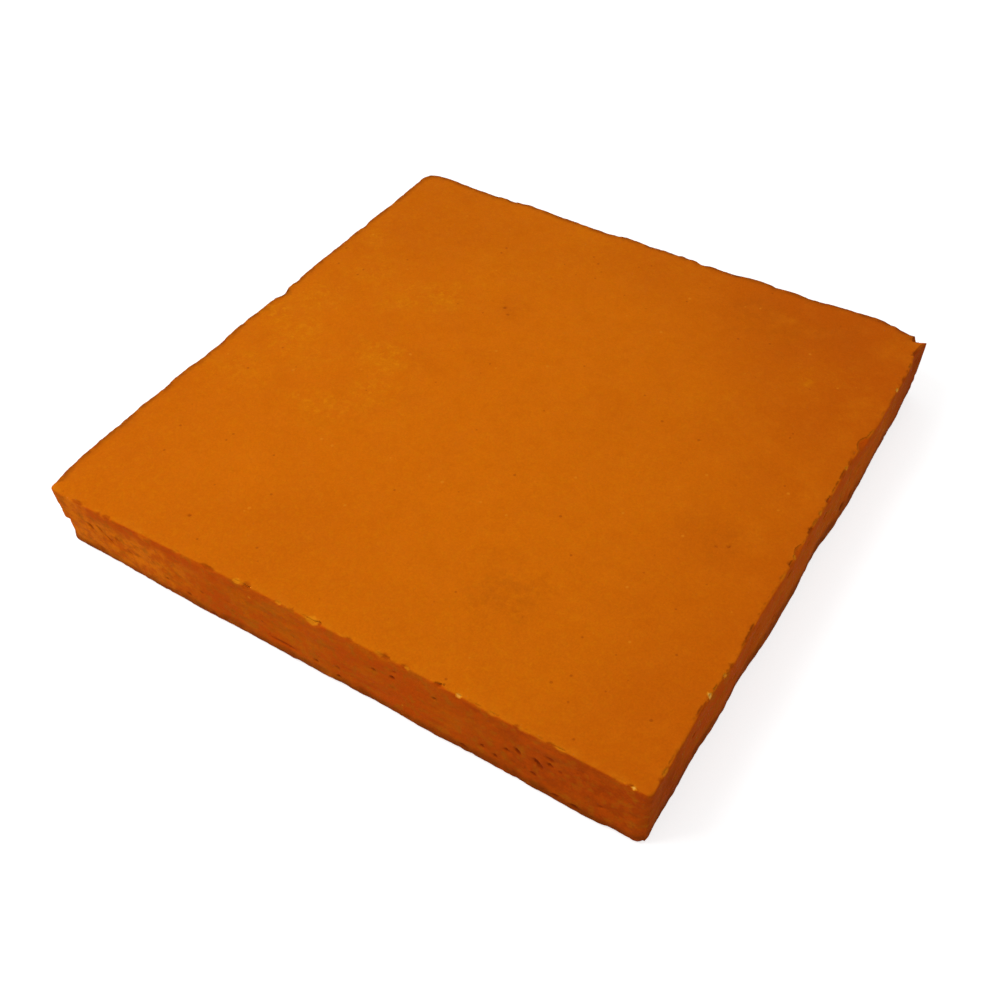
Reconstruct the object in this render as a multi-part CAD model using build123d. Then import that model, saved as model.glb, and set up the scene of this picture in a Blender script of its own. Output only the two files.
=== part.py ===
"""Hand-moulded square terracotta floor tile: one slab of fired clay, lying on its bed.

The frame has +Z up. The origin is in the middle of the bed, which is the flat underside.
The front side faces -Y, the right side +X, the back side +Y and the left side -X.
The face is the wearing surface on top. All lengths are in millimetres.
"""

import os
from math import cos, pi, sin

from build123d import *

# The slab
SIDE = 300.0
THICKNESS = 35.0

# The arrises, which are the long edges round the face and round the bed, are worn round
FACE_ARRIS_RADIUS = 1.2
BED_ARRIS_RADIUS = 2.5
ARRIS_STEPS = 4

# The corners seen from above, at the face and at the bed
FACE_FRONT_LEFT_RADIUS = 2.5
FACE_FRONT_RIGHT_RADIUS = 3.0
FACE_BACK_RIGHT_RADIUS = 1.5
FACE_BACK_LEFT_RADIUS = 7.0
BED_FRONT_LEFT_RADIUS = 4.0
BED_FRONT_RIGHT_RADIUS = 5.0
BED_BACK_RIGHT_RADIUS = 4.0
BED_BACK_LEFT_RADIUS = 7.0

# The back side falls away from its right corner by this angle, in degrees
FACE_BACK_FALL = 20.0
BED_BACK_FALL = 8.0

# A side pressed by hand strays from its straight line by about this much either way
WANDER = 2.0

# Where clay broke off an arris: the largest chip's radius, and how deep it bites
CHIP_RADIUS = 9.0
CHIP_DEPTH = 2.4

# The deep nick in the face's back arris, close to its right corner
NICK_RADIUS = 2.5
NICK_DEPTH = 2.9
NICK_RUN_SHARE = -0.484

RIGHTWARD = Axis.X.direction
BACKWARD = Axis.Y.direction
UPWARD = Axis.Z.direction

# The sides run anticlockwise, seen from above. Each has the way that it runs and the way out.
SIDES = {
    "front": (RIGHTWARD, -BACKWARD),
    "right": (BACKWARD, RIGHTWARD),
    "back": (-RIGHTWARD, BACKWARD),
    "left": (-BACKWARD, -RIGHTWARD),
}

# The radius of the corner that each side ends in
FACE_RADII = {
    "front": FACE_FRONT_RIGHT_RADIUS,
    "right": FACE_BACK_RIGHT_RADIUS,
    "back": FACE_BACK_LEFT_RADIUS,
    "left": FACE_FRONT_LEFT_RADIUS,
}
BED_RADII = {
    "front": BED_FRONT_RIGHT_RADIUS,
    "right": BED_BACK_RIGHT_RADIUS,
    "back": BED_BACK_LEFT_RADIUS,
    "left": BED_FRONT_LEFT_RADIUS,
}

# How each side strays. A pair is a share of SIDE along the side, counted from its middle,
# and a share of WANDER outwards. The first and last pairs of a side place its corners.
FACE_WANDER_SHARES = {
    "front": ((-0.5, 0.4), (-0.42, 0.55), (-0.34, 0.4), (-0.2, 0.1), (-0.1, -0.2), (0.03, -0.1),
              (0.13, -0.4), (0.21, -0.3), (0.3, 0.0), (0.4, 0.0), (0.5, 0.1)),
    "right": ((-0.5, 0.0), (-0.42, 0.0), (-0.35, -0.25), (-0.27, 0.5), (-0.19, 0.0), (-0.12, 0.1),
              (0.0, 0.0), (0.1, -0.1), (0.16, -0.3), (0.25, 0.6), (0.32, 0.45), (0.4, 0.35),
              (0.47, 0.1), (0.5, 0.2)),
    "back": ((-0.5, -2.9), (-0.46, -1.1), (-0.41, 0.8), (-0.37, 0.75), (-0.31, -0.15),
             (-0.22, 0.35), (-0.14, -0.45), (-0.07, 0.0), (0.07, 0.45), (0.16, -0.4), (0.27, 0.6),
             (0.36, -0.15), (0.46, 0.6), (0.5, 0.2)),
    "left": ((-0.5, -0.2), (-0.44, -0.15), (-0.37, -0.45), (-0.28, -0.1), (-0.18, 0.1),
             (-0.08, -0.1), (0.04, 0.35), (0.115, -0.1), (0.19, 0.4), (0.3, 0.1), (0.4, -0.1),
             (0.46, -0.7), (0.5, -1.2)),
}
BED_WANDER_SHARES = {
    "front": ((-0.5, -0.3), (-0.42, -0.2), (-0.33, 0.2), (-0.24, 0.75), (-0.14, 0.5), (0.0, 0.5),
              (0.08, 0.2), (0.2, 0.6), (0.28, 0.5), (0.33, 0.75), (0.43, 0.85), (0.5, 0.5)),
    "right": ((-0.5, -0.5), (-0.42, -0.3), (-0.37, -0.6), (-0.28, -0.2), (-0.22, -0.7),
              (-0.15, 0.1), (-0.08, 0.5), (0.0, 0.4), (0.06, -0.2), (0.12, 0.45), (0.17, 0.6),
              (0.25, 0.4), (0.33, 0.0), (0.42, -0.1), (0.5, -0.4)),
    "back": ((-0.5, -1.0), (-0.38, 0.3), (-0.2, -0.2), (0.0, 0.1), (0.2, -0.3), (0.38, 0.2),
             (0.5, -0.3)),
    "left": ((-0.5, -0.4), (-0.36, -0.1), (-0.15, 0.2), (0.05, -0.2), (0.25, 0.3), (0.4, -0.3),
             (0.5, -1.0)),
}

# The chips along an arris: a share of SIDE along the side, and a share of the largest chip
FACE_CHIP_SHARES = {
    "front": ((-0.12, 0.4), (0.005, 0.5), (0.2, 0.45), (0.478, 0.25)),
    "right": ((-0.32, 0.3), (-0.05, 0.8), (0.2, 1.0), (0.395, 0.35)),
    "back": ((-0.093, 0.75), (0.15, 0.4)),
    "left": ((-0.05, 0.9),),
}
BED_CHIP_SHARES = {
    "front": ((0.33, 0.5),),
    "right": ((0.07, 0.6),),
}


def outline(wander_shares, radii, back_fall, inset):
    """The slab's closed line at one height: four straying sides, and the arcs that join them."""
    names = list(SIDES)
    half = SIDE / 2 - inset
    corners = {}
    for name, following in zip(names, names[1:] + names[:1]):
        along, out = SIDES[name]
        end_share = wander_shares[name][-1][1]
        start_share = wander_shares[following][0][1]
        corners[name] = along * (half + start_share * WANDER) + out * (half + end_share * WANDER)
    leaving = {name: SIDES[name][0] for name in names}
    leaving["back"] = leaving["back"].rotate(Axis.Z, -back_fall)
    edges = []
    for before, name, following in zip(names[-1:] + names[:-1], names, names[1:] + names[:1]):
        along, out = SIDES[name]
        start = corners[before] + leaving[name] * (radii[before] - inset)
        end = corners[name] - along * (radii[name] - inset)
        between = [
            along * (run_share * SIDE) + out * (half + out_share * WANDER)
            for run_share, out_share in wander_shares[name][1:-1]
        ]
        turned = corners[name] + leaving[following] * (radii[name] - inset)
        edges.append(Edge.make_spline([start, *between, end], tangents=[leaving[name], along]))
        edges.append(Edge.make_tangent_arc(end, along, turned))
    return Wire(edges)


def worn_arris(line, radius):
    """The slab's lines round one arris, from the side to the flat, with how deep each lies."""
    steps = []
    for step in range(ARRIS_STEPS + 1):
        turn = pi / 2 * step / ARRIS_STEPS
        steps.append((line(radius * (1 - cos(turn))), radius * (1 - sin(turn))))
    return steps


def bite(arris, side, run_share, radius, depth, height, up):
    """A ball that bites an arris at the given place along its side."""
    along, out = SIDES[side]
    start = along * (run_share * SIDE)
    beam = Edge.make_line(start, start + out * SIDE)
    place = arris.distance_to_with_closest_points(beam)[1] + UPWARD * height
    return Sphere(radius).moved(Location(place + (out + up).normalized() * (radius - depth)))


def chips(arris, chip_shares, height, up):
    """The balls that bite the chips out of one arris."""
    return [
        bite(arris, side, run_share, CHIP_RADIUS * size_share, CHIP_DEPTH * size_share, height, up)
        for side, rows in chip_shares.items()
        for run_share, size_share in rows
    ]


def make_tile():
    """The slab lofted from bed to face through both worn arrises, and then chipped."""
    def bed(inset):
        return outline(BED_WANDER_SHARES, BED_RADII, BED_BACK_FALL, inset)

    def face(inset):
        return outline(FACE_WANDER_SHARES, FACE_RADII, FACE_BACK_FALL, inset)

    below = [
        line.moved(Location(UPWARD * depth)) for line, depth in worn_arris(bed, BED_ARRIS_RADIUS)
    ]
    above = [
        line.moved(Location(UPWARD * (THICKNESS - depth)))
        for line, depth in worn_arris(face, FACE_ARRIS_RADIUS)
    ]
    slab = Solid.make_loft(below[::-1] + above, ruled=True)
    bites = chips(face(0), FACE_CHIP_SHARES, THICKNESS, UPWARD)
    bites += chips(bed(0), BED_CHIP_SHARES, 0, -UPWARD)
    bites.append(bite(face(0), "back", NICK_RUN_SHARE, NICK_RADIUS, NICK_DEPTH, THICKNESS, UPWARD))
    slab = slab - bites
    middle = slab.bounding_box().center()
    return slab.moved(Location((-middle.X, -middle.Y, 0)))


os.makedirs("parts", exist_ok=True)
export_step(make_tile(), "parts/tile.step")
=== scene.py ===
"""Hand-moulded terracotta floor tile: the clay's relief, wear and colour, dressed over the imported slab.

Lengths are in metres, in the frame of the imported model: +Z up, the bed at zero and the face on top,
the front side towards -Y, the right side +X, the back side +Y and the left side -X.
"""
import itertools
from math import cos, pi, radians, sin

import bpy
import numpy as np
from mathutils import Matrix, Vector
from mathutils.bvhtree import BVHTree


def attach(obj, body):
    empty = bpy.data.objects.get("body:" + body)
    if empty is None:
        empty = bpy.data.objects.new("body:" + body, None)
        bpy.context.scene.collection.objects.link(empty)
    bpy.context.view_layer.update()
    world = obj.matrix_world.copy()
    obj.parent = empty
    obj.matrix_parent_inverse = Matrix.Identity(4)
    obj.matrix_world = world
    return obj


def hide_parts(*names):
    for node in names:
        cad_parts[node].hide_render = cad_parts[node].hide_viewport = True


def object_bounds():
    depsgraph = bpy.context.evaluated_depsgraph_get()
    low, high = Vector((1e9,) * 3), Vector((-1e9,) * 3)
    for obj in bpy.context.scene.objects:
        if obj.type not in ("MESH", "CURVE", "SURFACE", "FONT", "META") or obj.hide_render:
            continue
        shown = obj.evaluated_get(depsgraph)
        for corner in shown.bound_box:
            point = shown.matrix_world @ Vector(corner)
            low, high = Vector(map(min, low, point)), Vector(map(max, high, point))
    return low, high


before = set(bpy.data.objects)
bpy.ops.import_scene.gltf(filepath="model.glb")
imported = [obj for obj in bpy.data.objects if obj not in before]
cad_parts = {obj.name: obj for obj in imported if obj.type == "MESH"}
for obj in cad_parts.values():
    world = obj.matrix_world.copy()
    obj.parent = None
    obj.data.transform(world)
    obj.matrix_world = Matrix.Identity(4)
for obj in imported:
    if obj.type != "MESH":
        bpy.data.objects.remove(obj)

CAD_LOW, CAD_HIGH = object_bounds()
MM = 0.001
THICKNESS = CAD_HIGH.z

# The camera, solved from the edges of the tile in the photograph
CAMERA_PLACE = Vector((0.22645, -0.36160, 0.41354))
CAMERA_AZIMUTH = radians(32.92)
CAMERA_ELEVATION = radians(45.98)
CAMERA_ROLL = radians(-1.354)
CAMERA_LENS_MM = 43.69
CAMERA_SENSOR_MM = 36.0

# The working grid. It is dense, and then thinned to what the relief needs.
CELLS = 400
FINAL_TRIANGLES = 192_000
FACE_ARRIS = 1.2 * MM
BED_ARRIS = 2.5 * MM
ARRIS_ROWS = 8
CHIPPED_DEPTH = 6 * MM
CHIPPED_ROW = 0.45 * MM
PLAIN_ROW = 0.62 * MM

# The rays start well outside the slab, and the lowest and highest ones pass just inside its flats
OUTSIDE = 200 * MM
GRAZE = 0.01 * MM

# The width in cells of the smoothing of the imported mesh's facets, the share of a flat's half width
# past which its grid follows the straying sides, and the share of the face's arris radius, either
# way from an arris, over which two sheets blend
FACET_SMOOTHING = 0.5
RIM_SHARE = 0.75
BLEND_SHARE = 0.7

# The surface is six sheets. Each has a way along it and a way up it, as seen from outside.
SHEETS = {
    "front": ((1, 0, 0), (0, 0, 1)),
    "right": ((0, 1, 0), (0, 0, 1)),
    "back": ((-1, 0, 0), (0, 0, 1)),
    "left": ((0, -1, 0), (0, 0, 1)),
    "face": ((1, 0, 0), (0, 1, 0)),
    "bed": ((-1, 0, 0), (0, 1, 0)),
}
SHEET_NAMES = list(SHEETS)
SIDE_NAMES = SHEET_NAMES[:4]
FRONT, RIGHT, BACK, LEFT, FACE, BED = range(len(SHEETS))

# Hollows that the photograph shows: the sheet, the place along and up it, then the length,
# width and depth, all in millimetres, and the tilt of the length in degrees
HOLLOWS = (
    ("front", -127.8, 20.0, 5.2, 2.8, 1.3, -52),
    ("front", -133.0, 24.0, 5.0, 1.6, 0.4, -45),
    ("front", -121.5, 22.0, 7.5, 1.9, 0.6, -45),
    ("front", -117.0, 17.5, 8.5, 2.0, 0.7, -42),
    ("front", -111.0, 20.5, 6.5, 1.7, 0.5, -40),
    ("front", -105.0, 15.0, 5.0, 1.8, 0.4, -35),
    ("front", -84.0, 11.0, 3.2, 2.2, 0.6, 0),
    ("front", -72.0, 8.0, 4.5, 2.4, 0.6, -10),
    ("front", -19.5, 8.6, 21.0, 2.2, 0.5, 2),
    ("front", -2.0, 9.0, 3.0, 2.4, 0.8, 0),
    ("front", 9.0, 6.0, 3.0, 2.2, 0.8, 0),
    ("front", 28.0, 23.0, 2.8, 2.4, 0.9, 0),
    ("front", 37.0, 24.0, 3.2, 3.0, 1.1, 0),
    ("front", 57.0, 25.0, 4.0, 2.0, 0.6, 15),
    ("front", 70.0, 5.0, 3.8, 2.2, 0.8, 0),
    ("front", 79.0, 11.0, 3.0, 2.2, 0.8, -30),
    ("front", 85.0, 9.0, 3.2, 2.4, 0.9, -40),
    ("front", 90.0, 17.0, 3.4, 2.6, 0.9, 0),
    ("front", 95.0, 20.0, 5.0, 2.6, 1.0, -50),
    ("front", 104.0, 19.0, 7.5, 3.2, 1.5, -48),
    ("front", 109.0, 22.0, 3.6, 2.4, 0.9, -20),
    ("front", 102.0, 11.0, 4.0, 2.4, 0.8, -15),
    ("front", 112.0, 4.4, 4.4, 2.2, 0.8, 0),
    ("front", 120.5, 4.0, 5.4, 2.6, 1.1, 0),
    ("front", 131.0, 13.0, 3.4, 1.8, 0.5, 30),
    ("right", -128.0, 17.0, 4.0, 2.0, 0.7, 20),
    ("right", -112.0, 24.0, 5.0, 2.2, 0.8, -10),
    ("right", -74.0, 22.0, 4.0, 2.4, 0.9, 0),
    ("right", -55.0, 27.0, 5.0, 2.0, 0.8, 10),
    ("right", -24.0, 29.0, 6.5, 2.6, 1.2, 0),
    ("right", -3.0, 27.5, 4.2, 2.4, 1.1, 0),
    ("right", 18.0, 26.0, 5.0, 2.6, 1.2, 10),
    ("right", 60.0, 21.0, 4.5, 1.8, 0.7, 0),
    ("right", 92.0, 25.0, 5.0, 2.0, 0.8, -10),
    ("face", -42.9, 63.5, 3.8, 2.8, 0.45, 20),
    ("face", -38.5, 59.3, 3.0, 2.4, 0.4, 0),
    ("face", -82.4, -131.0, 2.8, 2.6, 0.45, 0),
    ("face", 123.7, -27.8, 3.8, 2.2, 0.45, 60),
    ("face", 119.0, -30.5, 2.6, 2.0, 0.35, 0),
    ("face", 57.0, -96.0, 2.4, 1.8, 0.2, 40),
)

# Chips in the face's arris that the photograph shows: the side, the run along it from its middle,
# the length, the reach and depth, in millimetres, and how pale the broken clay is
CHIPS = (
    ("front", -41.0, 4.5, 2.2, 0.6, 0.55),
    ("front", -36.0, 6.0, 3.0, 1.1, 0.1),
    ("front", -19.0, 3.6, 2.0, 0.6, 0.45),
    ("front", -2.0, 8.0, 3.2, 0.9, 0.5),
    ("front", 44.0, 3.0, 1.8, 0.5, 0.4),
    ("front", 58.6, 3.2, 2.2, 1.1, 0.0),
    ("front", 68.0, 3.2, 2.0, 0.6, 0.8),
    ("front", 83.0, 4.0, 1.9, 0.5, 0.3),
    ("front", 112.0, 5.0, 1.8, 0.5, 0.35),
    ("front", 142.7, 2.2, 1.7, 0.5, 1.0),
    ("right", -138.0, 5.0, 2.0, 0.5, 0.35),
    ("right", -100.0, 3.0, 2.3, 0.7, 1.0),
    ("right", -96.0, 3.0, 1.6, 0.4, 0.3),
    ("right", -88.5, 2.6, 1.8, 0.5, 0.75),
    ("right", -62.0, 4.5, 2.2, 0.7, 0.1),
    ("right", -23.0, 4.5, 2.4, 0.9, 0.1),
    ("right", -19.0, 3.0, 2.0, 0.6, 0.5),
    ("right", -1.0, 4.0, 2.4, 0.9, 0.0),
    ("right", 10.0, 3.4, 2.0, 0.6, 0.45),
    ("right", 19.0, 4.0, 2.4, 1.0, 0.0),
    ("right", 42.0, 2.6, 1.8, 0.4, 0.6),
    ("right", 70.0, 5.0, 1.8, 0.5, 0.2),
    ("right", 104.0, 3.0, 2.0, 0.6, 0.85),
)

# How far the moulded clay swells past the plain slab, as the photograph's outline shows it: for each
# side the run along it from its middle and the distance out, in millimetres
FACE_SWELLS = {
    "front": ((-150, 0.1), (-130, 0.0), (130, 0.0), (150, 0.1)),
    "right": (
        (-150, 0.1), (-130, 0.0), (115, 0.0), (128, 0.2), (137, -0.7), (144, -0.3), (146, 1.3),
        (147.2, -0.8), (148.8, -0.6), (151, 0.1),
    ),
    "back": (
        (-151, 0.1), (-147.2, 1.6), (-143, 0.9), (-126, 1.0), (-116, 0.1), (-104, 1.3), (-90, 0.6),
        (-80, 1.0), (-71, -0.1), (-60, 1.2), (-23, 1.2), (-12, 0.6), (8, -0.4), (18, 0.6),
        (29, -0.2), (40, 0.6), (49, 1.9), (61, 0.9), (106, 1.3), (130, 0.2), (142, 1.6), (150, 1.0),
    ),
    "left": (
        (-150, 0.6), (-129, 0.3), (-114, 0.6), (-99, 1.4), (-85, 0.6), (-68, 0.2), (-54, 0.7),
        (-25, 0.6), (0, -0.1), (12, 1.0), (36, 0.7), (49, 0.0), (61, 0.8), (72, 0.0), (93, 1.5),
        (104, 0.4), (114, 1.2), (124, 0.7), (142, 1.3), (150, 0.3),
    ),
}
BED_SWELLS = {
    "front": (
        (-151, -0.9), (-145, 0.0), (-110, -0.2), (-75, -0.8), (-45, -0.6), (0, 0.1), (60, 0.4),
        (115, -0.2), (150, 0.5),
    ),
    "right": (
        (-150, 0.9), (-135, 0.2), (-75, 0.6), (-50, 0.4), (-15, -0.6), (40, 0.1), (110, 0.3),
        (150, 0.0),
    ),
    "back": ((-150, 0.0), (150, 0.0)),
    "left": ((-150, 0.0), (144, 0.1), (151, -0.9)),
}

# Where dust lies pale on the face, and where it is smudged darker: the place on the face and the
# reach in millimetres, and the strength
DUST = (
    (-77, 55, 12, 1.0), (-92, 44, 16, 0.7), (-119, 51, 18, 0.5), (-143, 81, 12, 0.6),
    (-128, 20, 16, 0.7), (-139, 1, 10, 0.9), (-122, -8, 16, 0.7), (-128, -41, 14, 0.6),
    (-104, -20, 18, 0.4), (-76, -2, 14, 0.9), (-65, -25, 15, 0.7), (-76, -47, 14, 0.8),
    (-48, -30, 20, 0.3), (-60, 86, 22, 0.3), (112, 87, 4, 1.0), (74, 46, 14, 0.25),
    (120, 96, 20, 0.2), (85, 118, 16, 0.15), (20, 142, 12, 0.2), (-40, 138, 14, 0.2),
)
SMUDGES = (
    (56, -96, 15, 0.9), (46, -104, 9, 0.6), (68, 126, 16, 0.8), (90, 115, 14, 0.7),
    (66, 135, 9, 0.6), (112, 126, 18, 0.5), (119, -30, 10, 0.6), (103, -23, 12, 0.4),
    (-40, 62, 7, 0.5), (137, 141, 6, 0.5), (119, 141, 5, 0.5), (-115, 142, 5, 0.4),
)


def smoothstep(start, full, values):
    """0 before the start, 1 past the full value, smooth between them. Full may be below start."""
    t = np.clip((values - start) / (full - start), 0, 1)
    return t * t * (3 - 2 * t)


# Random values that are the same in every run. The turn keeps the lattice of the noise off the
# tile's own lines, and the whole numbers scramble its cells.

TURN = np.array([[0.36, 0.48, -0.80], [-0.80, 0.60, 0.00], [0.48, 0.64, 0.60]])
PRIMES = np.array([73856093, 19349663, 83492791], np.uint64)
MIXER = np.uint64(0x9E3779B97F4A7C15)
NOISE_HEIGHT = 1.6


def hashed(cells, seed):
    """A random whole number for each cell of a 3-D lattice."""
    value = (cells.astype(np.int64).astype(np.uint64) * PRIMES).sum(1, dtype=np.uint64)
    value = (value ^ np.uint64(seed)) * MIXER
    value ^= value >> np.uint64(29)
    value *= MIXER
    return value >> np.uint64(40)


def noise(points, size, seed, flatten=1):
    """Smooth random heights, from about -1 to 1, whose bumps are about the given size across.

    Bumps are flattened along Z by the given factor, as where clay was dragged sideways."""
    at = points * (1, 1, flatten) / size
    if flatten == 1:
        at = at @ TURN.T
    cell = np.floor(at)
    within = at - cell
    fade = within**3 * (within * (within * 6 - 15) + 10)
    total = np.zeros(len(points))
    for corner in itertools.product((0, 1), repeat=3):
        picked = hashed(cell + corner, seed)
        parts = [picked >> np.uint64(8 * axis) & np.uint64(255) for axis in range(3)]
        slope = np.stack(parts, 1) / 127.5 - 1
        weight = np.prod(np.where(corner, fade, 1 - fade), axis=1)
        total += weight * ((within - corner) * slope).sum(1)
    return total * NOISE_HEIGHT


def layered(points, layers, flatten=1):
    """Noise in layers. Each has its bumps' width and height in millimetres, and its own seed."""
    return sum(noise(points, width * MM, seed, flatten) * height * MM for width, height, seed in layers)


# The slab's surface as a dense grid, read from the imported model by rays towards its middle

def square_loop(cells):
    """Points once round the unit square, anticlockwise from the front left corner."""
    run = np.linspace(-1, 1, cells, endpoint=False)
    one = np.ones(cells)
    sides = ((run, -one), (one, run), (-run, one), (-one, -run))
    return np.concatenate([np.stack(side, 1) for side in sides])


def row_heights():
    """Heights from the bed to the face: close together on both arrises and where chips reach."""
    turns = np.linspace(0, pi / 2, ARRIS_ROWS + 1)
    bed = BED_ARRIS * (1 - np.sin(turns))[::-1]
    face = THICKNESS - FACE_ARRIS * (1 - np.sin(turns))
    chipped = THICKNESS - CHIPPED_DEPTH
    plain = np.linspace(bed[-1], chipped, round((chipped - bed[-1]) / PLAIN_ROW) + 1)
    near = np.linspace(chipped, face[0], round((face[0] - chipped) / CHIPPED_ROW) + 1)
    return np.concatenate([bed, plain[1:], near[1:], face[1:]])


def read_rings(node, loop, heights):
    """How far out the slab reaches at each height, along the ray to each point of the loop."""
    mesh = node.data
    tree = BVHTree.FromPolygons([v.co for v in mesh.vertices], [p.vertices for p in mesh.polygons])
    rings = np.empty((len(heights), len(loop)))
    rays = [(Vector((x, y, 0)), Vector((-x, -y, 0)).normalized()) for x, y in loop]
    for row, height in enumerate(np.clip(heights, GRAZE, THICKNESS - GRAZE)):
        for column, (way, inward) in enumerate(rays):
            hit = tree.ray_cast(way * OUTSIDE + Vector((0, 0, height)), inward)[0]
            rings[row, column] = max(abs(hit.x), abs(hit.y))
    return rings


def swells(heights):
    """How far the clay swells past the slab, for each height and each point of the loop."""
    run = np.linspace(-1, 1, CELLS, endpoint=False) * CAD_HIGH.x / MM
    bed, face = (
        np.concatenate([np.interp(run, *np.array(table[name]).T) for name in SIDE_NAMES]) * MM
        for table in (BED_SWELLS, FACE_SWELLS)
    )
    return bed + (face - bed) * heights[:, None] / THICKNESS


def smoothed(rings, width):
    """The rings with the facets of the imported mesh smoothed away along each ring."""
    reach = int(3 * width) + 1
    steps = np.arange(-reach, reach + 1)
    weights = np.exp(-(steps / width) ** 2 / 2)
    weights /= weights.sum()
    return sum(w * np.roll(rings, step, axis=1) for w, step in zip(weights, steps))


def side_number(x, y):
    """Which side the ray from the middle through each point leaves by."""
    on_front = -y >= abs(x)
    on_right = (x >= abs(y)) & ~on_front
    on_back = (y >= abs(x)) & ~on_right
    return np.select([on_front, on_right, on_back], [FRONT, RIGHT, BACK], LEFT)


def ring_at(ring, x, y):
    """How far out the ring lies on the ray from the middle through each point."""
    far = np.maximum(np.maximum(abs(x), abs(y)), GRAZE)
    side = side_number(x, y)
    run = np.select([side == FRONT, side == RIGHT, side == BACK], [x, y, -x], -y) / far
    place = (side + (run + 1) / 2) * CELLS
    return np.interp(place, np.arange(len(ring) + 1), np.append(ring, ring[0]))


def flat_grid(ring, height):
    """The points of one flat, which fills the inside of a ring."""
    steps = np.linspace(-1, 1, CELLS + 1)
    x, y = np.meshgrid(steps, steps)
    rim = smoothstep(RIM_SHARE, 1, np.maximum(abs(x), abs(y)))
    middle = ring.mean()
    scale = middle + rim * (ring_at(ring, x, y) - middle)
    return np.stack([x * scale, y * scale, np.full_like(x, height)], 2)


def flat_part(ring, height, first_new, ring_start):
    """The inner points of a flat and its faces, whose border shares the ring's points."""
    points = flat_grid(ring, height)
    number = np.full((CELLS + 1, CELLS + 1), -1)
    run = np.arange(CELLS)
    first = np.zeros(CELLS, int)
    last = np.full(CELLS, CELLS)
    rows = np.concatenate([first, run, last, CELLS - run])
    columns = np.concatenate([run, last, CELLS - run, first])
    number[rows, columns] = ring_start + np.arange(len(ring))
    inner = number < 0
    number[inner] = first_new + np.arange(inner.sum())
    quads = np.stack([number[:-1, :-1], number[:-1, 1:], number[1:, 1:], number[1:, :-1]], 2)
    return points[inner], quads.reshape(-1, 4)


class Slab:
    """The dense grid: its points, its faces, and where each point lies on the tile."""

    def __init__(self, node):
        loop = square_loop(CELLS)
        heights = row_heights()
        rings = smoothed(read_rings(node, loop, heights), FACET_SMOOTHING) + swells(heights)
        side_points = np.empty((len(heights), len(loop), 3))
        side_points[:, :, :2] = loop[None] * rings[:, :, None]
        side_points[:, :, 2] = heights[:, None]
        number = np.arange(len(heights) * len(loop)).reshape(len(heights), -1)
        ahead = np.roll(number, -1, axis=1)
        side_quads = np.stack([number[:-1], ahead[:-1], ahead[1:], number[1:]], 2).reshape(-1, 4)
        bed_points, bed_quads = flat_part(rings[0], 0, number.size, 0)
        first_new = number.size + len(bed_points)
        face_points, face_quads = flat_part(rings[-1], THICKNESS, first_new, number[-1, 0])
        self.points = np.concatenate([side_points.reshape(-1, 3), bed_points, face_points])
        self.quads = np.concatenate([side_quads, bed_quads[:, ::-1], face_quads])

        x, y, z = self.points.T
        on_side = np.arange(len(self.points)) < number.size
        self.under_face = self.profile_place(rings[-1], THICKNESS - z, FACE_ARRIS, on_side)
        self.over_bed = self.profile_place(rings[0], z, BED_ARRIS, on_side)
        high = z > THICKNESS / 2
        self.sheet = np.where(on_side, side_number(x, y), np.where(high, FACE, BED))
        ways = np.array([SHEETS[name] for name in SHEET_NAMES], float)[self.sheet]
        self.along = (self.points * ways[:, 0]).sum(1)
        self.up = (self.points * ways[:, 1]).sum(1)

        # How far a point belongs to the face, the sides and the bed, blended over each arris
        half = FACE_ARRIS * BLEND_SHARE
        below_face = smoothstep(-half, half, self.under_face)
        above_bed = smoothstep(-half, half, self.over_bed)
        self.on_face = np.where(high, 1 - below_face, 0)
        self.on_bed = np.where(high, 0, 1 - above_bed)
        self.on_side = np.where(high, below_face, above_bed)

    def profile_place(self, ring, depth, radius, on_side):
        """How far past the middle of an arris each point lies: down the side, or less than zero
        in over the flat."""
        x, y = self.points[:, 0], self.points[:, 1]
        out = np.maximum(abs(x), abs(y)) - ring_at(ring, x, y)
        round_it = np.where(depth < radius, np.clip(out, 0, radius), radius)
        return np.where(on_side, depth + round_it, out) - radius


def normals_of(points, quads):
    """Each point's outward way, from the faces round it."""
    diagonals = points[quads[:, 2:]] - points[quads[:, :2]]
    across = np.cross(diagonals[:, 0], diagonals[:, 1])
    total = np.zeros_like(points)
    for corner in range(4):
        for axis in range(3):
            total[:, axis] += np.bincount(quads[:, corner], across[:, axis], len(points))
    return total / np.linalg.norm(total, axis=1, keepdims=True)


# The relief of hand-moulded clay: how deep it lies under the slab, and its layers of noise

FACE_DEPTH = 0.24 * MM
FACE_LAYERS = ((90, 0.14, 11), (34, 0.07, 12), (9, 0.035, 13), (3.2, 0.03, 14))
STRIKE_STRETCH = (0.09, 1, 1)
STRIKE_LAYERS = ((2.6, 0.014, 15),)
LUMP_DEPTH = 0.05 * MM
LUMP_LAYERS = ((17, 0.34, 21), (5.5, 0.2, 22))
DRAG_FLATTENING = 8
DRAG_LAYERS = ((22, 0.2, 23),)
SIDE_SAND_DEPTH = 0.07 * MM
SIDE_SAND_LAYERS = ((2.1, 0.07, 24),)
BED_DEPTH = 0.2 * MM
BED_LAYERS = ((60, 0.1, 31), (3, 0.07, 33))
BOARD_STRETCH = (1, 0.15, 1)
BOARD_LAYERS = ((7, 0.05, 32),)

# The fold steps in by its depth. Each pair runs from where it starts to where it is full: towards
# the corner, down from its top and up from the foot.
FOLD_DEPTH = 1.1 * MM
FOLD_REACH = (15 * MM, 7 * MM)
FOLD_TOP = (16.5 * MM, 14.5 * MM)
FOLD_FOOT = (0, 7 * MM)
FOLD_REACH_LAYERS = ((6, 1.5, 45),)
FOLD_TOP_LAYERS = ((5, 1.2, 46),)

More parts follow.
